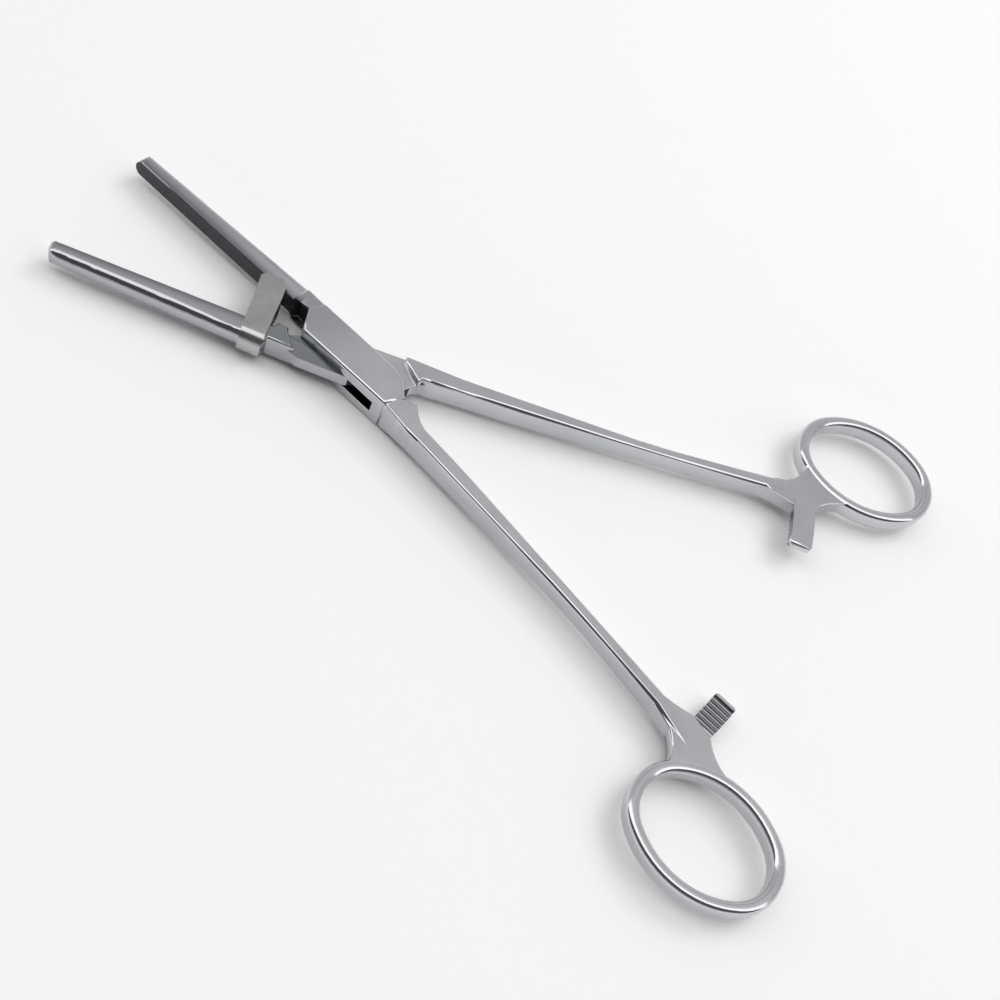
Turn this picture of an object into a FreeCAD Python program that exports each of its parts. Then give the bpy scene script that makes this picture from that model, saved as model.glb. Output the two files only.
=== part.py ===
import FreeCAD, Part
import math
import os

# Ring-handled tubing clamp with a box lock, a ratchet and a tubing guard.
# Millimetres. Each half is drawn closed, with +X to the finger rings, +Y to
# its own jaw and Z along the pivot. The male half is then mirrored, and both
# halves are turned apart about the pivot to the open rest pose.

# Poses
open_angle = 25.4            # between the jaws at rest
face_gap = 0.12              # half of the gap between the closed jaws

# Jaws: half-round back, flat clamping face
jaw_length = 64.0            # pivot to tip
jaw_root_x = -19.0           # where the half-round bar ends
jaw_tip_height = 3.5
jaw_root_height = 5.2
jaw_tip_width = 4.0
male_jaw_width = 4.9         # at the root, inside the guard
guard_clearance = 0.2        # each side, between the guard and the upper jaw
jaw_edge = 0.3               # bevel along the clamping face
jaw_crown = 0.5              # flat left along the top of the half-round back
tip_round = 2.9              # rounding of the tip, seen from the side

# Box lock
box_thickness = 8.0
tenon_thickness = 2.8
tenon_clearance = 0.06       # each side, in the mortise
box_side = 4.75              # pivot axis to the shank-side flank
tenon_side = 4.5             # the same on the tenon
box_back = 3.6               # pivot axis to the jaw-side flank
box_front_x = -15.0          # upper end of the slanted front edge of the cheeks
box_corner_x = -11.8         # lower end of that edge
box_rear_x = 12.0            # rear point of the cheeks
box_round = 0.65             # rounding of the long edges of the box
neck_thickness = 5.6         # male jaw just before the tenon
neck_side = 3.6
neck_round = 0.7
neck_front_x = -18.4
neck_ramp = 0.9              # length over which the neck rises
neck_crest = 1.4             # how far it reaches past the closing line, at the guard
neck_rise = 0.95             # the same at its shoulder
relief_gap = 0.2             # neck to the pocket for it in the upper jaw's root
root_front_x = -18.2         # where the upper jaw's deep root begins, behind the guard
root_front_thickness = 6.9
root_front_side = 4.15
shoulder_gap = 0.2           # neck shoulder to the front edge of the cheeks
pin_radius = 1.9
pin_clearance = 0.05

# Shanks: a gentle bow, given by the middle of the bar at three places
shank_root = (20.0, -3.65)
shank_middle = (54.0, -6.6)
shank_end_y = -10.9
shank_end_gap = 7.0          # from the bar's end to the ratchet, along X
shank_tail = 9.5             # thinned end of the bar, inside the web
male_root_x = 8.3            # shoulder behind the tenon, at the shank's outer side
root_width = 3.5
waist_width = 2.5
end_width = 2.9
waist_x = 68.0
root_thickness = 5.8
waist_thickness = 4.5
end_thickness = 4.9
shank_bevel = 0.5
heel_x = 14.5                # inner corner of each shank's wide root
female_heel_y = 1.1
male_heel_y = -1.3

# Finger rings
ring_distance = 14.8         # from the ratchet's inner side to the ring's middle, along X
ring_centre_y = -25.1
ring_long = 14.9             # half axes of the middle of the band
ring_short = 11.3
ring_end_radius = 9.4        # bend at the ends of the oval
ring_turn = 5.2              # long axis towards the closing line
ring_band = 2.6
ring_thickness = 4.4
ring_round = 1.15
web_thickness = 3.6
web_bevel = 0.35

# Ratchet
ratchet_inner = 95.0         # distance of the bar's sides from the pivot
ratchet_width = 4.9
female_reach = 1.1           # past the closing line when closed
male_reach = 1.9
ratchet_root_y = -9.5
bar_thickness = 1.95
teeth_gap = 0.12             # tooth tips to the middle plane
tooth_pitch = 1.15
tooth_depth = 0.6
tooth_count = 6
end_pad = 1.3                # plain ramp at the end of the bar
end_round = 0.9              # rounding of the end, on the side without teeth

# Guard: a bent strip around the male jaw
guard_middle_x = -21.3       # where the strip crosses the closing line
guard_width = 5.5
guard_sheet = 0.8
guard_lean = 3.8             # degrees, towards the tips
guard_leg = 11.5             # leg height past the closing line
guard_corner = 1.0

half_box = box_thickness / 2.0
ratchet_outer = ratchet_inner + ratchet_width
shank_end = (ratchet_inner - shank_end_gap, shank_end_y)
ring_centre = (ratchet_inner + ring_distance, ring_centre_y)


def vector(x, y, z=0.0):
    return FreeCAD.Vector(x, y, z)


def segment(a, b):
    return Part.makeLine(a, b)


def arc(a, middle, b):
    return Part.Arc(a, middle, b).toShape()


def outline(start, steps):
    """Face in the XY plane; a step is an end point, or a point on the arc and an end point."""
    edges = []
    here = vector(*start)
    for step in steps:
        if len(step) == 2 and isinstance(step[0], tuple):
            end = vector(*step[1])
            edges.append(arc(here, vector(*step[0]), end))
        else:
            end = vector(*step)
            edges.append(segment(here, end))
        here = end
    first = vector(*start)
    if here.distanceToPoint(first) > 1e-6:
        edges.append(segment(here, first))
    return Part.Face(Part.Wire(edges))


def slab(face, low, high):
    raised = face.copy()
    raised.translate(vector(0, 0, low))
    return raised.extrude(vector(0, 0, high - low))


def rim_edges(solid, level, tolerance=1e-4):
    """Edges that lie in the plane z = level."""
    found = []
    for edge in solid.Edges:
        box = edge.BoundBox
        if abs(box.ZMin - level) < tolerance and abs(box.ZMax - level) < tolerance:
            found.append(edge)
    return found


def bevelled_slab(face, half_height, bevel):
    solid = slab(face, -half_height, half_height)
    rims = rim_edges(solid, half_height) + rim_edges(solid, -half_height)
    return solid.makeChamfer(bevel, rims)


def rounded_slab(face, half_height, radius):
    solid = slab(face, -half_height, half_height)
    rims = rim_edges(solid, half_height) + rim_edges(solid, -half_height)
    return solid.makeFillet(radius, rims)


def bar_section(x, low, high, thickness, low_corner, high_corner, round_back=False):
    """Section of a bar across X: a rectangle with bevelled corners, or a round back."""
    half = thickness / 2.0
    places = [
        (low, low_corner, 1.0, -1.0),
        (low, low_corner, 1.0, 1.0),
        (high, high_corner, -1.0, 1.0),
        (high, high_corner, -1.0, -1.0),
    ]
    edges = []
    previous = None
    start = None
    bend = 1.0 - math.sqrt(0.5)
    for level, radius, inward, side in places:
        on_level = vector(x, level, side * (half - radius))
        on_side = vector(x, level + inward * radius, side * half)
        middle = vector(x, level + inward * radius * bend, side * (half - radius * bend))
        if (inward > 0) == (side > 0):
            first, last = on_level, on_side
        else:
            first, last = on_side, on_level
        if previous is not None:
            edges.append(segment(previous, first))
        else:
            start = first
        if round_back and inward < 0:
            edges.append(arc(first, middle, last))
        else:
            edges.append(segment(first, last))
        previous = last
    edges.append(segment(previous, start))
    return Part.Wire(edges)


def jaw_sizes(x, root_jaw_width):
    """Height and width of the half-round bar at x, on straight tapers."""
    share = (x + jaw_length) / (jaw_root_x + jaw_length)
    height = jaw_tip_height + (jaw_root_height - jaw_tip_height) * share
    width = jaw_tip_width + (root_jaw_width - jaw_tip_width) * share
    return height, width


def jaw_section(x, root_jaw_width):
    height, width = jaw_sizes(x, root_jaw_width)
    return bar_section(x, face_gap, height, width, jaw_edge, (width - jaw_crown) / 2.0, True)


def jaw_bar(root_jaw_width):
    sections = [jaw_section(-jaw_length, root_jaw_width), jaw_section(jaw_root_x, root_jaw_width)]
    bar = Part.makeLoft(sections, True, True)
    return bar.common(tip_envelope())


def tip_envelope():
    """Blunt tip: round seen from above the clamping face, and rounded off at the back."""
    radius = jaw_tip_width / 2.0
    deep = 10.0
    centre = -jaw_length + radius
    across = Part.Face(Part.Wire([
        segment(vector(jaw_root_x, 0, -deep), vector(jaw_root_x, 0, deep)),
        segment(vector(jaw_root_x, 0, deep), vector(centre + 6.0, 0, deep)),
        segment(vector(centre + 6.0, 0, deep), vector(centre + 6.0, 0, radius + 0.6)),
        segment(vector(centre + 6.0, 0, radius + 0.6), vector(centre, 0, radius)),
        arc(vector(centre, 0, radius), vector(-jaw_length, 0, 0), vector(centre, 0, -radius)),
        segment(vector(centre, 0, -radius), vector(centre + 6.0, 0, -radius - 0.6)),
        segment(vector(centre + 6.0, 0, -radius - 0.6), vector(centre + 6.0, 0, -deep)),
        segment(vector(centre + 6.0, 0, -deep), vector(jaw_root_x, 0, -deep)),
    ]))
    across_solid = across.extrude(vector(0, deep, 0))
    top = jaw_tip_height + 0.1
    bend = tip_round * (1.0 - math.sqrt(0.5))
    side = outline((jaw_root_x, 0.0), [
        (-jaw_length, 0.0),
        (-jaw_length, top - tip_round),
        ((-jaw_length + bend, top - bend), (-jaw_length + tip_round, top)),
        (-jaw_length + tip_round + 8.0, top + 1.2),
        (jaw_root_x, 9.0),
    ])
    return across_solid.common(slab(side, -deep, deep))


def upper_jaw_root():
    """Steep shoulder behind the guard, then a deep root that runs into the box."""
    width = male_jaw_width - 2.0 * guard_clearance
    foot_x = root_front_x - 0.9
    foot = jaw_section(foot_x, width)
    front = bar_section(root_front_x, face_gap, root_front_side, root_front_thickness,
                        jaw_edge, 1.0, True)
    rear = bar_section(box_front_x + 2.5, face_gap, box_back - 0.1, box_thickness - 0.2,
                       jaw_edge, box_round, True)
    return Part.makeLoft([foot, front, rear], True, True)


def shank_line(x):
    """Middle of the shank at x: the parabola through the three named places."""
    (x0, y0), (x1, y1), (x2, y2) = shank_root, shank_middle, shank_end
    part0 = y0 * (x - x1) * (x - x2) / ((x0 - x1) * (x0 - x2))
    part1 = y1 * (x - x0) * (x - x2) / ((x1 - x0) * (x1 - x2))
    part2 = y2 * (x - x0) * (x - x1) / ((x2 - x0) * (x2 - x1))
    return part0 + part1 + part2


def shank_sizes(x):
    if x < waist_x:
        share = (x - shank_root[0]) / (waist_x - shank_root[0])
        share = share * share * (3.0 - 2.0 * share)
        width = root_width + (waist_width - root_width) * share
        thickness = root_thickness + (waist_thickness - root_thickness) * share
    else:
        share = (x - waist_x) / (shank_end[0] - waist_x)
        width = waist_width + (end_width - waist_width) * share
        thickness = waist_thickness + (end_thickness - waist_thickness) * share
    return width, thickness


def shank():
    stations = 7
    sections = []
    for index in range(stations):
        x = shank_root[0] + (shank_end[0] - shank_root[0]) * index / (stations - 1)
        width, thickness = shank_sizes(x)
        middle = shank_line(x)
        sections.append(bar_section(x, middle - width / 2.0, middle + width / 2.0, thickness,
                                    shank_bevel, shank_bevel))
    bar = Part.makeLoft(sections, True, False)
    x = shank_end[0]
    middle = shank_line(x)
    tail_x = x + shank_tail
    tail_middle = shank_line(tail_x) - 0.9
    start = bar_section(x, middle - end_width / 2.0, middle + end_width / 2.0, end_thickness,
                        shank_bevel, shank_bevel)
    end = bar_section(tail_x, tail_middle - end_width / 2.0, tail_middle + end_width / 2.0,
                      web_thickness - 0.4, shank_bevel, shank_bevel)
    return bar.fuse(Part.makeLoft([start, end], True, True))


def female_root():
    """Ramp from the box down to the shank, with a heel on its inner side."""
    width, thickness = shank_sizes(shank_root[0])
    outer = shank_root[1] - width / 2.0
    inner = shank_root[1] + width / 2.0
    end_x = shank_root[0] + 0.5
    stations = [
        (box_rear_x - 3.2, -box_side + 0.5, -2.6, box_thickness - 1.5),
        (box_rear_x - 0.6, -box_side - 0.07, -0.8, box_thickness - 0.6),
    ]
    for index in range(5):
        rest = (1.0 - index / 4.0) ** 2
        x = heel_x + (end_x - heel_x) * index / 4.0
        low = outer - 0.02 + (outer * -1.0 - box_side - 0.2) * rest
        high = inner - 0.02 + (female_heel_y - inner) * rest
        stations.append((x, low, high, thickness - 0.02 + 0.8 * rest))
    sections = []
    for x, low, high, deep in stations:
        sections.append(bar_section(x, low, high, deep, shank_bevel, shank_bevel))
    return Part.makeLoft(sections, True, True)


def male_root():
    """Wide root that starts at the shoulder behind the tenon."""
    width, thickness = shank_sizes(shank_root[0])
    outer = shank_root[1] - width / 2.0
    inner = shank_root[1] + width / 2.0
    plan = outline((male_root_x, outer), [
        (male_root_x, -4.1),
        (box_rear_x + 0.2, -face_gap - 0.1),
        (box_rear_x + 0.9, male_heel_y + 0.1),
        (heel_x + 1.0, male_heel_y),
        (shank_root[0] + 0.5, inner - 0.02),
        (shank_root[0] + 0.5, outer - 0.02),
    ])
    return bevelled_slab(plan, thickness / 2.0, shank_bevel)


def oval_sizes():
    """Centres and radii of the four arcs along the middle of the band."""
    reach = ring_long - ring_end_radius
    side_radius = reach * reach + ring_short * ring_short - ring_end_radius * ring_end_radius
    side_radius = side_radius / (2.0 * (ring_short - ring_end_radius))
    drop = side_radius - ring_short
    return reach, drop, side_radius


def in_ring_place(shape):
    shape.rotate(vector(0, 0), vector(0, 0, 1), ring_turn)
    shape.translate(vector(*ring_centre))
    return shape


def band_section(distance):
    """Section of the band at that distance from its axis, each corner rounded in three steps."""
    steps = 3
    half_band = ring_band / 2.0 - ring_round
    half_height = ring_thickness / 2.0 - ring_round
    points = []
    for across, up, first in ((1, 1, 0), (-1, 1, 90), (-1, -1, 180), (1, -1, 270)):
        for step in range(steps + 1):
            angle = math.radians(first + 90.0 * step / steps)
            out = distance + across * half_band + ring_round * math.cos(angle)
            rise = up * half_height + ring_round * math.sin(angle)
            points.append(vector(out, 0, rise))
    points.append(points[0])
    return Part.Face(Part.makePolygon(points))


def finger_ring():
    """Oval band of four arcs that run into each other."""
    reach, drop, side_radius = oval_sizes()
    turn = math.degrees(math.atan2(drop, reach))
    arcs = [
        (vector(reach, 0), ring_end_radius, -turn, 2.0 * turn),
        (vector(0, -drop), side_radius, turn, 180.0 - 2.0 * turn),
        (vector(-reach, 0), ring_end_radius, 180.0 - turn, 2.0 * turn),
        (vector(0, drop), side_radius, 180.0 + turn, 180.0 - 2.0 * turn),
    ]
    pieces = []
    for centre, radius, start, sweep in arcs:
        section = band_section(radius)
        section.rotate(vector(0, 0), vector(0, 0, 1), start)
        section.translate(centre)
        pieces.append(section.revolve(centre, vector(0, 0, 1), sweep))
    band = pieces[0].multiFuse(pieces[1:]).removeSplitter()
    return in_ring_place(band)


def ring_inside():
    """What lies within the middle of the band: the web stops there."""
    reach, drop, side_radius = oval_sizes()
    length = math.hypot(reach, drop)
    joint_x = reach + ring_end_radius * reach / length
    joint_y = ring_end_radius * drop / length
    middle = outline((joint_x, -joint_y), [
        ((ring_long, 0.0), (joint_x, joint_y)),
        ((0.0, ring_short), (-joint_x, joint_y)),
        ((-ring_long, 0.0), (-joint_x, -joint_y)),
        ((0.0, -ring_short), (joint_x, -joint_y)),
    ])
    return in_ring_place(slab(middle, -ring_thickness, ring_thickness))


def between(a, b, across, up):
    """Point midway between two others, moved by the given amounts."""
    return ((a[0] + b[0]) / 2.0 + across, (a[1] + b[1]) / 2.0 + up)


def web():
    """Flat web that joins the shank, the ratchet bar and the ring."""
    x = shank_end[0] - shank_end_gap / 1.6
    width, thickness = shank_sizes(x)
    middle = shank_line(x)
    cx, cy = ring_centre
    start = (x, middle - width / 2.0 + 0.3)
    throat = (shank_end[0] + 4.4, shank_end[1] - 3.0)
    ring_side = (cx - 0.906 * ring_long, cy + 0.513 * ring_short)
    ring_top = (cx - 0.2 * ring_long, cy + 1.05 * ring_short)
    outer_corner = (ratchet_outer - 0.4, ratchet_root_y + 0.3)
    inner_corner = (ratchet_inner - 0.4, ratchet_root_y + 1.5)
    end = (x, middle + width / 2.0 - 0.3)
    plan = outline(start, [
        throat,
        (between(throat, ring_side, 0.45, 0.6), ring_side),
        (cx, cy),
        ring_top,
        (between(ring_top, outer_corner, -0.9, -0.4), outer_corner),
        inner_corner,
        (between(inner_corner, end, 2.0, -0.2), end),
    ])
    return bevelled_slab(plan, web_thickness / 2.0, web_bevel).cut(ring_inside())


def ratchet_bar(reach):
    """Bar with its teeth up; its sides follow circles about the pivot."""
    plan_low = ratchet_root_y
    plan_high = reach

    def on_circle(radius, y):
        return (math.sqrt(radius * radius - y * y), y)

    corner = 0.7
    middle_y = (plan_low + plan_high) / 2.0
    inner_top = on_circle(ratchet_inner, plan_high - corner)
    outer_top = on_circle(ratchet_outer, plan_high - corner)
    outer_low = on_circle(ratchet_outer, plan_low)
    plan = outline(on_circle(ratchet_inner, plan_low), [
        (on_circle(ratchet_inner, middle_y), inner_top),
        (inner_top[0] + corner, plan_high),
        (outer_top[0] - corner, plan_high),
        outer_top,
        (on_circle(ratchet_outer, middle_y), outer_low),
    ])
    tip_level = -teeth_gap
    bottom = tip_level - bar_thickness
    points = [vector(0, plan_low, bottom), vector(0, plan_low, tip_level - tooth_depth)]
    first = plan_high - end_pad - tooth_count * tooth_pitch
    points.append(vector(0, first, tip_level - tooth_depth))
    for index in range(tooth_count):
        y = first + index * tooth_pitch
        points.append(vector(0, y + 0.12, tip_level))
        points.append(vector(0, y + 0.30, tip_level))
        points.append(vector(0, y + tooth_pitch, tip_level - tooth_depth))
    points.append(vector(0, plan_high - end_pad + 0.25, tip_level))
    points.append(vector(0, plan_high - 0.3, tip_level - 0.25))
    points.append(vector(0, plan_high + 0.01, tip_level - 0.7))
    points.append(vector(0, plan_high + 0.01, bottom + end_round))
    points.append(vector(0, plan_high - end_round * 0.29, bottom + end_round * 0.29))
    points.append(vector(0, plan_high - end_round, bottom))
    points.append(points[0])
    side = Part.Face(Part.makePolygon(points))
    profile = side.extrude(vector(ratchet_outer + 4.0, 0, 0))
    return slab(plan, bottom, tip_level).common(profile)


def handle(bar):
    """Shank, web, finger ring and ratchet bar in one piece."""
    solid = shank().fuse(web())
    solid = solid.fuse(finger_ring())
    return solid.fuse(bar)


def cheek_plan():
    """Outline of the cheeks of the box, between the slanted front and the rear point."""
    return outline((box_front_x, face_gap), [
        (box_corner_x, -box_side),
        (10.4, -box_side - 0.05),
        (box_rear_x, -0.3),
        (9.3, 2.6),
        (7.4, box_back - 0.3),
        (-0.5, box_back),
        (box_front_x + 1.5, box_back),
    ])


def mortise():
    """Passage for the tenon, open at both flanks of the box."""
    half = tenon_thickness / 2.0 + tenon_clearance
    away = 12.0
    plan = outline((box_front_x - 0.6, face_gap - 0.02), [
        (-7.5, box_back - 0.3),
        (-7.5, away),
        (14.6, away),
        (14.6, 1.2),
        (7.9, -box_side - 0.1),
        (7.9, -away),
        (box_front_x - 0.6, -away),
    ])
    return slab(plan, -half, half)


def shoulder_x(y):
    """Slanted shoulder of the male neck, parallel to the front edge of the cheeks."""
    slope = (box_corner_x - box_front_x) / (box_side + face_gap)
    return box_front_x - shoulder_gap + slope * (y - face_gap)


def tenon_plan():
    """Outline of the male tenon, in the male half's own frame."""
    inside_neck = box_front_x - 3.0
    return outline((inside_neck, face_gap), [
        (inside_neck, neck_side - 0.8),
        (shoulder_x(neck_side) - 1.3, neck_side - 0.1),
        (shoulder_x(neck_side) + 1.2, tenon_side),
        (7.6, tenon_side - 0.1),
        (12.3, -0.3),
        (14.0, male_heel_y - 0.1),
        (14.0, shank_root[1] - root_width / 2.0 + 0.25),
        (male_root_x, shank_root[1] - root_width / 2.0 + 0.02),
        (-2.0, -box_side - 0.2),
        (-7.3, -box_back + 0.45),
        (box_front_x - 0.3, face_gap - 0.24),
    ])


def pin_hole(radius):
    return Part.makeCylinder(radius, box_thickness, vector(0, 0, -half_box))


def female_half():
    width = male_jaw_width - 2.0 * guard_clearance
    cheeks = rounded_slab(cheek_plan(), half_box, box_round)
    solid = cheeks.fuse(upper_jaw_root())
    solid = solid.fuse(female_root())
    solid = solid.cut(mortise())
    solid = solid.cut(pin_hole(pin_radius))
    solid = solid.fuse(jaw_bar(width))
    solid = solid.cut(neck_pocket())
    return solid.fuse(handle(ratchet_bar(female_reach))).removeSplitter()


def male_neck():
    """Root of the male jaw, ending in the slanted shoulder that faces the cheeks."""
    start = jaw_section(jaw_root_x, male_jaw_width)
    end = bar_section(neck_front_x, face_gap, neck_side, neck_thickness, jaw_edge, neck_round, True)
    lead = 2.0
    plan = outline((neck_front_x - lead, face_gap), [
        (neck_front_x, face_gap),
        (neck_front_x + neck_ramp, -neck_crest),
        (shoulder_x(face_gap) - 0.3, -neck_rise),
        (shoulder_x(face_gap), face_gap),
        (shoulder_x(neck_side), neck_side),
        (neck_front_x - lead, neck_side),
    ])
    body = rounded_slab(plan, neck_thickness / 2.0, neck_round)
    front = outline((neck_front_x, -5.0), [(0.0, -5.0), (0.0, 9.0), (neck_front_x, 9.0)])
    body = body.common(slab(front, -half_box, half_box))
    return body.fuse(Part.makeLoft([start, end], True, True))


def neck_pocket():
    """Pocket in the root of the upper jaw, where the male neck comes up when closed."""
    plan = outline((neck_front_x - 2.0 * relief_gap, 0.0), [
        (neck_front_x + neck_ramp - 0.25, neck_crest + relief_gap + 0.06),
        (shoulder_x(face_gap) - 0.1, neck_rise + relief_gap + 0.07),
        (box_front_x + 0.2, 0.0),
    ])
    half = neck_thickness / 2.0 + relief_gap
    return slab(plan, -half, half)


def male_half():
    tenon = slab(tenon_plan(), -tenon_thickness / 2.0, tenon_thickness / 2.0)
    solid = tenon.fuse(male_neck())
    solid = solid.fuse(male_root())
    solid = solid.cut(pin_hole(pin_radius + pin_clearance))
    solid = solid.fuse(jaw_bar(male_jaw_width))
    bar = ratchet_bar(male_reach)
    bar.rotate(vector(0, 0), vector(1, 0, 0), 180)
    bar = bar.mirror(vector(0, 0), vector(0, 1, 0))
    solid = solid.fuse(handle(bar)).removeSplitter()
    return solid.mirror(vector(0, 0), vector(0, 1, 0))


def guard():
    """U-shaped strip, tight round the back of the male jaw, with two straight legs."""
    ends = (jaw_root_x - 9.0, jaw_root_x)
    outer_sections = []
    inner_sections = []
    for x in ends:
        height, width = jaw_sizes(x, male_jaw_width)
        bend = (width - jaw_crown) / 2.0
        outer_sections.append(bar_section(x, -guard_leg - 2.0, height + guard_sheet,
                                          width + 2.0 * guard_sheet, 0.2, bend + guard_sheet, True))
        inner_sections.append(bar_section(x, -guard_leg - 4.0, height, width, 0.2, bend, True))
    channel = Part.makeLoft(outer_sections, True, True)
    channel = channel.cut(Part.makeLoft(inner_sections, True, True))
    lean = math.tan(math.radians(guard_lean))
    reach = 9.0
    half = guard_width / 2.0
    corner = guard_corner

    def edge_x(side, y):
        return guard_middle_x + side * half + lean * y

    top = -guard_leg
    strip = outline((edge_x(-1, reach), reach), [
        (edge_x(-1, top + corner), top + corner),
        (edge_x(-1, top) + corner, top),
        (edge_x(1, top) - corner, top),
        (edge_x(1, top + corner), top + corner),
        (edge_x(1, reach), reach),
    ])
    solid = channel.common(slab(strip, -box_thickness, box_thickness))
    return solid.mirror(vector(0, 0), vector(0, 1, 0))


def box_lock_pin():
    return pin_hole(pin_radius)


def place(shape, angle):
    """Turn about the pivot, and lift so that the box rests on z = 0."""
    shape.rotate(vector(0, 0), vector(0, 0, 1), angle)
    shape.translate(vector(0, 0, half_box))
    return shape


def main():
    os.makedirs("parts", exist_ok=True)
    half_angle = open_angle / 2.0
    nodes = {
        "female_half": place(female_half(), -half_angle),
        "box_lock_pin": place(box_lock_pin(), -half_angle),
        "male_half": place(male_half(), half_angle),
        "guard": place(guard(), half_angle),
    }
    for name, shape in nodes.items():
        solids = shape.Solids
        print(name, "solids", len(solids), "valid", shape.isValid(), "volume", round(shape.Volume, 1))
        body = solids[0] if len(solids) == 1 else shape
        body.exportStep("parts/" + name + ".step")


main()
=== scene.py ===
import math

import bpy
import bmesh
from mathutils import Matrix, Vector


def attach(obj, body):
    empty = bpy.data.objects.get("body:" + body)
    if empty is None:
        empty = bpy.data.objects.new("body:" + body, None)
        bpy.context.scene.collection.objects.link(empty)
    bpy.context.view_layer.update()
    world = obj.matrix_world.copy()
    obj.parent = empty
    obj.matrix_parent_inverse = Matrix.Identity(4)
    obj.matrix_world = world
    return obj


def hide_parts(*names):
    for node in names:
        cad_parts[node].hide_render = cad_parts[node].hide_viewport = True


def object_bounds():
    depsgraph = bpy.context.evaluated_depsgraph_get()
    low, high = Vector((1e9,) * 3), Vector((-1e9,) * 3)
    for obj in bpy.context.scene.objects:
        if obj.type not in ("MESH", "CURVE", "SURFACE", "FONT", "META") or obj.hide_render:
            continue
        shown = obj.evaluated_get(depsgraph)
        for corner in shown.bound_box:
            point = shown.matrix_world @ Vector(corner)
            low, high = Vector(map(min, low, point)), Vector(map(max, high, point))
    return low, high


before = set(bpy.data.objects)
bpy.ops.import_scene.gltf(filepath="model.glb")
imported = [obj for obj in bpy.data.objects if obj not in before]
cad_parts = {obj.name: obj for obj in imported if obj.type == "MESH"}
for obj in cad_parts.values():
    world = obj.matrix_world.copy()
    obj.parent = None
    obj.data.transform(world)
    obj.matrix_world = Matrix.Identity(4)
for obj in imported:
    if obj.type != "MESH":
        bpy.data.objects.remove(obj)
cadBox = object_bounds()
scene = bpy.context.scene
mm = 0.001
print("frame loaded")


def hexColour(code):
    # sRGB hex to the linear values that the shaders take
    colour = []
    for start in (0, 2, 4):
        share = int(code[start:start + 2], 16) / 255.0
        colour.append(share / 12.92 if share <= 0.04045 else ((share + 0.055) / 1.055) ** 2.4)
    return (*colour, 1.0)


def addNode(tree, kind, settings=None, inputs=None):
    # one node with its settings; an input takes a value, or the socket that feeds it
    node = tree.nodes.new(kind)
    for name, value in (settings or {}).items():
        setattr(node, name, value)
    for name, value in (inputs or {}).items():
        if isinstance(value, bpy.types.NodeSocket):
            tree.links.new(value, node.inputs[name])
        else:
            node.inputs[name].default_value = value
    return node


def newMaterial(name):
    material = bpy.data.materials.new(name)
    material.use_nodes = True
    material.node_tree.nodes.clear()
    return material, material.node_tree


# The two ends of a Mix node and its result, which share their names and so go by number
mixSockets = {"RGBA": (6, 7, 2), "FLOAT": (2, 3, 0)}


def layered(tree, kind, base, layers):
    # each layer is how far it covers what lies below, and the colour or number that it brings
    first, second, result = mixSockets[kind]
    for share, value in layers:
        mix = addNode(tree, "ShaderNodeMix", {"data_type": kind}, {"Factor": share, first: base, second: value})
        base = mix.outputs[result]
    return base


def blastedSurface(tree, values, place):
    # blasting leaves faint clouds, in colour and in gloss, and a fine grit
    clouds = addNode(tree, "ShaderNodeTexNoise", {}, {
        "Vector": place, "Scale": 1.0 / (values["cloudMm"] * mm), "Detail": values["cloudDetail"]})
    grit = addNode(tree, "ShaderNodeTexNoise", {}, {
        "Vector": place, "Scale": 1.0 / (values["gritMm"] * mm), "Detail": values["gritDetail"]})
    colour = layered(tree, "RGBA", hexColour(values["dark"]), [(clouds.outputs["Fac"], hexColour(values["light"]))])
    low, high = values["cloudRange"]
    glossiest, dullest = values["roughness"]
    roughness = addNode(tree, "ShaderNodeMapRange", {}, {
        "Value": clouds.outputs["Fac"], "From Min": low, "From Max": high, "To Min": glossiest, "To Max": dullest})
    relief = addNode(tree, "ShaderNodeBump", {}, {
        "Height": grit.outputs["Fac"], "Strength": values["gritStrength"], "Distance": values["gritDepthMm"] * mm})
    return colour, roughness.outputs["Result"], relief.outputs["Normal"]


def finishMetal(tree, colour, roughness, relief):
    shader = addNode(tree, "ShaderNodeBsdfPrincipled", {}, {
        "Metallic": 1.0, "Base Color": colour, "Roughness": roughness, "Normal": relief})
    addNode(tree, "ShaderNodeOutputMaterial", {}, {"Surface": shader.outputs["BSDF"]})


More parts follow.
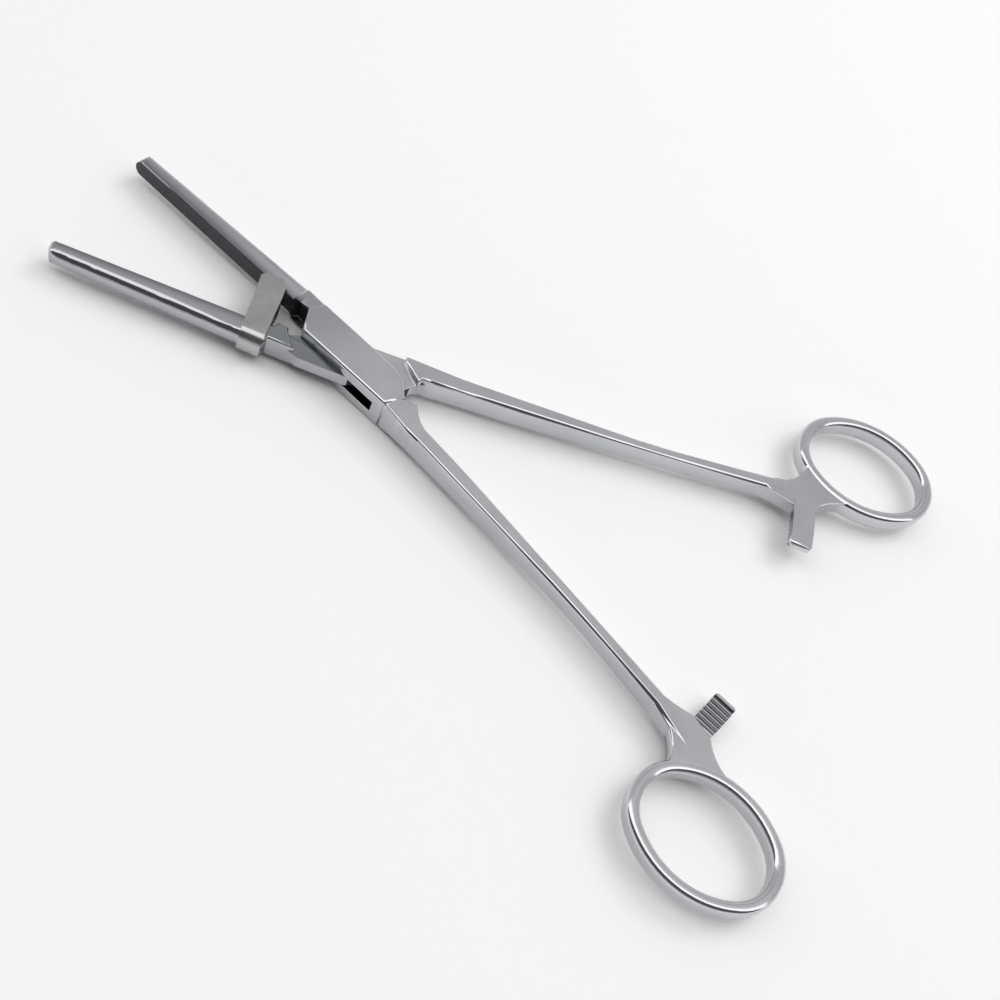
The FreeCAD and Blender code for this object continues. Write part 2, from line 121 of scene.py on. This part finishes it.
# Martensitic stainless steel, forged, blasted to a satin on the flats and buffed bright along edges and backs.
# Areas are in mm in the half's own closed frame: along it to the rings, out to the back of its own jaw, and up;
# None is no limit. A tilt says how level a face lies where the finish starts and where it is full,
# and a fade says the same of a place along one axis.
steelValues = {
    "light": "d2d3d6",
    "dark": "c4c5c9",
    "roughness": (0.26, 0.35),
    "cloudMm": 9.0,
    "cloudDetail": 4.0,
    "cloudRange": (0.3, 0.7),
    "gritMm": 0.30,              # blasting grit is finer; drawn this coarse to show
    "gritDetail": 2.0,
    "gritDepthMm": 0.004,
    "gritStrength": 0.4,
    "halfDegrees": 12.7,         # each half is turned this far from the closing line
    "buffedArea": {"tilt": (0.997, 0.95)},
    "buffedRoughness": 0.14,
    # painted shade: the box is a little darker towards the jaws
    "box": ("b2b3b8", {"fade": ("along", 4.0, -17.0)}),
    # painted shade inside the box lock, where no light reaches: the cheeks' level inner faces, the tenon's upright
    # flanks
    "cheekSlotShade": ("2e2e32", {"tilt": (0.90, 0.99), "along": (-12.4, 9.8), "up": (2.45, 5.55)}),
    "tenonSlotShade": ("2e2e32", {"tilt": (0.5, 0.2), "along": (-1.0, 11.0), "up": (2.45, 5.55)}),
    # painted shade: jaws darker towards the clamping face
    "jaw": ("7c7d82", {"fade": ("out", 2.3, 0.0), "along": (None, -17.0)}),
    # painted shade on the recessed flats between guard and box, below the box's edge
    "neckShade": ("94969c", {"tilt": (0.90, 0.99), "along": (-19.4, 0.0), "up": (1.0, 6.9)}),
    # painted shade in the milled ratchet grooves
    "teethShade": ("a4a4a7", {"tilt": (0.997, 0.95), "along": (94.6, 100.6), "out": (-6.9, 0.3)}),
    "face": "4a4a4e",            # clamping faces, ground across and left dull; their near-black is partly painted shade
    "faceArea": {"along": (None, -14.9), "out": (None, 0.28)},       # with the bevel along it
    "rootArea": {"along": (-19.4, -14.9), "out": (None, 1.9)},       # painted shade on the deep root behind the guard, with its pocket
    "faceTilt": {"tilt": (0.75, 0.45)},
    "faceRoughness": 0.42,
}


def areaShare(tree, axes, area, shares=()):
    # how far a finish covers: 1 in its area, 0 outside, in between over a tilt or fade
    shares = list(shares)
    for axis, limits in area.items():
        if axis == "tilt":
            start, full = limits
            covered = addNode(tree, "ShaderNodeMapRange", {}, {
                "Value": axes["tilt"], "From Min": start, "From Max": full})
            shares.append(covered.outputs["Result"])
        elif axis == "fade":
            fadeAxis, start, full = limits
            covered = addNode(tree, "ShaderNodeMapRange", {"interpolation_type": "SMOOTHSTEP"}, {
                "Value": axes[fadeAxis], "From Min": start * mm, "From Max": full * mm})
            shares.append(covered.outputs["Result"])
        else:
            for operation, limit in zip(("GREATER_THAN", "LESS_THAN"), limits):
                if limit is not None:
                    inside = addNode(tree, "ShaderNodeMath", {"operation": operation}, {
                        0: axes[axis], 1: limit * mm})
                    shares.append(inside.outputs[0])
    covered = shares[0]
    for share in shares[1:]:
        covered = addNode(tree, "ShaderNodeMath", {"operation": "MULTIPLY"}, {0: covered, 1: share}).outputs[0]
    return covered


def makeSteel(name, side, shadeLayers):
    # side is 1 for the upper jaw's half and -1 for the lower jaw's; the layers of painted shade lie one over the
    # other
    values = steelValues
    material, tree = newMaterial(name)
    coordinates = addNode(tree, "ShaderNodeTexCoord")
    place = coordinates.outputs["Object"]
    satin, satinRoughness, relief = blastedSurface(tree, values, place)

    turned = addNode(tree, "ShaderNodeMapping", {"vector_type": "POINT"}, {
        "Vector": place, "Rotation": (0.0, 0.0, side * math.radians(values["halfDegrees"]))})
    own = addNode(tree, "ShaderNodeSeparateXYZ", {}, {"Vector": turned.outputs["Vector"]})
    out = addNode(tree, "ShaderNodeMath", {"operation": "MULTIPLY"}, {0: own.outputs["Y"], 1: side})
    facing = addNode(tree, "ShaderNodeSeparateXYZ", {}, {"Vector": coordinates.outputs["Normal"]})
    tilt = addNode(tree, "ShaderNodeMath", {"operation": "ABSOLUTE"}, {0: facing.outputs["Z"]})
    axes = {"along": own.outputs["X"], "out": out.outputs[0], "up": own.outputs["Z"], "tilt": tilt.outputs[0]}

    faceOrRoot = addNode(tree, "ShaderNodeMath", {"operation": "MAXIMUM"}, {
        0: areaShare(tree, axes, values["faceArea"]), 1: areaShare(tree, axes, values["rootArea"])})
    face = areaShare(tree, axes, values["faceTilt"], [faceOrRoot.outputs[0]])
    # painted shade, layer by layer, over the satin, then the clamping faces' dark
    colours = []
    for finish in shadeLayers:
        colour, area = values[finish]
        colours.append((areaShare(tree, axes, area), hexColour(colour)))
    colours.append((face, hexColour(values["face"])))
    buffed = areaShare(tree, axes, values["buffedArea"])
    roughnesses = [(buffed, values["buffedRoughness"]), (face, values["faceRoughness"])]
    finishMetal(tree, layered(tree, "RGBA", satin, colours), layered(tree, "FLOAT", satinRoughness, roughnesses),
                relief)
    return material


# Soft stainless strip, blasted matt all over before it was bent
guardValues = {
    "light": "bcbdbc",
    "dark": "adaead",
    "roughness": (0.19, 0.30),
    "cloudMm": 4.0,
    "cloudDetail": 3.0,
    "cloudRange": (0.3, 0.7),
    "gritMm": 0.25,              # finer on the real strip, as on the halves
    "gritDetail": 2.0,
    "gritDepthMm": 0.003,
    "gritStrength": 0.5,
}


def makeGuardSteel():
    material, tree = newMaterial("blasted_stainless_strip")
    place = addNode(tree, "ShaderNodeTexCoord").outputs["Object"]
    finishMetal(tree, *blastedSurface(tree, guardValues, place))
    return material


# Finishing: sharp corners broken as a polishing wheel leaves them, and soft shading over the bevels
finishValues = {
    "mergeMm": 0.02,
    "flatDegrees": 1.0,          # facets closer than this are one face
    "sideMm": 4.0,               # a broken corner's middle lies this near the upper or lower side, half the height
    "segments": 3,
    "profile": 0.5,
    "flatWidthMm": 1.1,          # narrower faces are shaded as part of a round
    "level": 0.998,              # unless they lie as level as this
    "creaseDegrees": 20.0,       # between two flats
    "shadingDegrees": 58.0,      # between any other two faces
    "strengthLayer": "__mod_weightednormals_faceweight",
    "strong": 16384,             # Blender's own numbers for a face's strength
    "medium": 0,
}

# Corners that are broken: the size of the round, the least angle and length of the edge,
# the least width of the faces beside it, and where its middle lies along X
shankCorners = {
    "roundMm": 0.24,
    "leastDegrees": 30.0,
    "leastLengthMm": 1.0,
    "leastWidthMm": 0.6,
    "placesMm": (14.0, 90.0),
}
smallCorners = {
    "roundMm": 0.12,
    "leastDegrees": 62.0,
    "leastLengthMm": 0.8,
    "leastWidthMm": 0.5,
    "placesMm": (-70.0, 130.0),  # all along the part
}
guardCorners = {
    "roundMm": 0.08,
    "leastDegrees": 62.0,
    "leastLengthMm": 0.5,
    "leastWidthMm": 0.3,
    "placesMm": (-70.0, 130.0),
}


def faceWidth(face):
    return face.calc_area() / max(edge.calc_length() for edge in face.edges)


def widthBeside(edge):
    return min(face.calc_area() for face in edge.link_faces) / edge.calc_length()


def isCorner(edge, kind):
    if not edge.is_manifold or edge.calc_length() < kind["leastLengthMm"] * mm:
        return False
    if edge.calc_face_angle() < math.radians(kind["leastDegrees"]):
        return False
    middle = (edge.verts[0].co + edge.verts[1].co) / 2.0
    nearest, farthest = kind["placesMm"]
    if not nearest * mm < middle.x < farthest * mm:
        return False
    # upright corners of whole height lie right at this limit, so that some of them stay sharp
    if min(middle.z, cadBox[1][2] - middle.z) > finishValues["sideMm"] * mm:
        return False
    return widthBeside(edge) > kind["leastWidthMm"] * mm


def isFlat(face):
    return abs(face.normal.z) > finishValues["level"] or faceWidth(face) > finishValues["flatWidthMm"] * mm


def isSoft(edge):
    # shading runs on over the edge; two flats meet in a line instead
    if not edge.is_manifold:
        return False
    degrees = math.degrees(edge.calc_face_angle())
    bothFlat = all(isFlat(face) for face in edge.link_faces)
    return degrees < (finishValues["creaseDegrees"] if bothFlat else finishValues["shadingDegrees"])


def finishedCopy(nodeName, body, material, cornerKinds):
    values = finishValues
    shape = bmesh.new()
    shape.from_mesh(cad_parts[nodeName].data)
    bmesh.ops.remove_doubles(shape, verts=shape.verts, dist=values["mergeMm"] * mm)
    bmesh.ops.dissolve_degenerate(shape, dist=values["mergeMm"] * mm, edges=shape.edges)
    bmesh.ops.dissolve_limit(shape, angle_limit=math.radians(values["flatDegrees"]), verts=shape.verts,
                             edges=shape.edges, use_dissolve_boundaries=False)
    for kind in cornerKinds:
        corners = [edge for edge in shape.edges if isCorner(edge, kind)]
        if corners:
            bmesh.ops.bevel(shape, geom=corners, offset=kind["roundMm"] * mm, offset_type="OFFSET",
                            affect="EDGES", segments=values["segments"], profile=values["profile"], material=-1,
                            clamp_overlap=False)
    strength = shape.faces.layers.int.new(values["strengthLayer"])
    for face in shape.faces:
        face.smooth = True
        face[strength] = values["strong"] if isFlat(face) else values["medium"]
    for edge in shape.edges:
        edge.smooth = isSoft(edge)
    openEdges = sum(1 for edge in shape.edges if not edge.is_manifold)
    mesh = bpy.data.meshes.new(nodeName + "_finished")
    shape.to_mesh(mesh)
    shape.free()
    mesh.materials.append(material)
    piece = bpy.data.objects.new(nodeName + "_finished", mesh)
    scene.collection.objects.link(piece)
    shading = piece.modifiers.new("even_shading", "WEIGHTED_NORMAL")
    shading.mode = "CORNER_ANGLE"
    shading.use_face_influence = True
    shading.keep_sharp = True
    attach(piece, body)
    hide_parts(nodeName)
    print("finished", nodeName, len(mesh.polygons), "faces", openEdges, "open edges")


upperSteel = makeSteel("satin_stainless_steel_upper_jaw", 1, ["box", "cheekSlotShade", "jaw", "teethShade"])
lowerSteel = makeSteel("satin_stainless_steel_lower_jaw", -1, ["box", "tenonSlotShade", "jaw", "neckShade", "teethShade"])
finishedCopy("female_half", "female", upperSteel, [shankCorners, smallCorners])
finishedCopy("male_half", "male", lowerSteel, [shankCorners, smallCorners])
finishedCopy("guard", "male", makeGuardSteel(), [guardCorners])

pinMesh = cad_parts["box_lock_pin"].data       # ground flush with the cheeks
pinMesh.materials.clear()
pinMesh.materials.append(upperSteel)
print("pieces finished")

# Table top, in metres
floorValues = {"size": 3.0, "colour": "fcfcfc"}


def makeFloor():
    mesh = bpy.data.meshes.new("table_top")
    shape = bmesh.new()
    bmesh.ops.create_grid(shape, x_segments=1, y_segments=1, size=floorValues["size"] / 2.0)
    shape.to_mesh(mesh)
    shape.free()
    table = bpy.data.objects.new("table_top", mesh)
    scene.collection.objects.link(table)
    material, tree = newMaterial("pale_table")
    shader = addNode(tree, "ShaderNodeBsdfDiffuse", {}, {"Color": hexColour(floorValues["colour"])})
    addNode(tree, "ShaderNodeOutputMaterial", {}, {"Surface": shader.outputs["BSDF"]})
    mesh.materials.append(material)


makeFloor()

# The key light draws the shadows; the metal mirrors the studio alone, as behind a diffuser
keyValues = {
    "target": (0.03, 0.0, 0.0),  # metres, as are distance and size
    "distance": 1.5,
    "azimuth": 55.0,
    "elevation": 48.0,
    "size": 0.82,
    "watts": 6.0,
}


def makeKey():
    values = keyValues
    lamp = bpy.data.lights.new("key_softbox", "AREA")
    lamp.shape = "SQUARE"
    lamp.size = values["size"]
    lamp.energy = values["watts"]
    holder = bpy.data.objects.new("key_softbox", lamp)
    scene.collection.objects.link(holder)
    azimuth, elevation = math.radians(values["azimuth"]), math.radians(values["elevation"])
    way = Vector((math.cos(elevation) * math.cos(azimuth), math.cos(elevation) * math.sin(azimuth),
                  math.sin(elevation)))
    holder.location = Vector(values["target"]) + way * values["distance"]
    holder.rotation_euler = (-way).to_track_quat("-Z", "Y").to_euler()
    holder.visible_glossy = False


makeKey()

# Studio round the table: degrees from the far side over the top to the camera's side, and the light there.
# The wall is grey, the ceiling white, and the camera's side dark above the table
studioBands = [
    (0.0, 0.75),
    (26.0, 0.72),
    (38.0, 0.56),
    (71.0, 0.56),
    (78.0, 1.70),
    (106.0, 1.70),
    (112.0, 0.11),
    (157.0, 0.09),
    (166.0, 0.60),
    (180.0, 0.75),
]


def makeStudio():
    world = bpy.data.worlds.new("studio")
    scene.world = world
    world.use_nodes = True
    tree = world.node_tree
    tree.nodes.clear()
    way = addNode(tree, "ShaderNodeTexCoord").outputs["Generated"]
    parts = addNode(tree, "ShaderNodeSeparateXYZ", {}, {"Vector": way})
    angle = addNode(tree, "ShaderNodeMath", {"operation": "ARCTAN2"}, {0: parts.outputs["Z"], 1: parts.outputs["Y"]})
    share = addNode(tree, "ShaderNodeMath", {"operation": "DIVIDE"}, {0: angle.outputs[0], 1: math.pi})
    bands = addNode(tree, "ShaderNodeValToRGB", {}, {"Fac": share.outputs[0]})
    ramp = bands.color_ramp
    wholeTurn = studioBands[-1][0]
    for degrees, _ in studioBands[1:-1]:        # a new ramp already has its two ends
        ramp.elements.new(degrees / wholeTurn)
    for element, (_, light) in zip(ramp.elements, studioBands):
        element.color = (light, light, light, 1.0)
    background = addNode(tree, "ShaderNodeBackground", {}, {"Color": bands.outputs["Color"], "Strength": 1.0})
    addNode(tree, "ShaderNodeOutputWorld", {}, {"Surface": background.outputs["Background"]})


makeStudio()

# Camera, at the angle and distance of the photograph
view = {
    "placeMm": (43.101, -174.013, 234.380),
    "turnDegrees": (31.663, -17.216, 27.347),
    "lens": 52.095,
    "sensor": 36.0,
    "nearest": 0.01,
}


def makeCamera():
    camera = bpy.data.cameras.new("camera")
    camera.lens = view["lens"]
    camera.sensor_width = view["sensor"]
    camera.clip_start = view["nearest"]
    holder = bpy.data.objects.new("camera", camera)
    scene.collection.objects.link(holder)
    holder.location = Vector(view["placeMm"]) * mm
    holder.rotation_euler = [math.radians(degrees) for degrees in view["turnDegrees"]]
    scene.camera = holder


makeCamera()
scene.view_settings.view_transform = "Standard"
print("camera and light set")
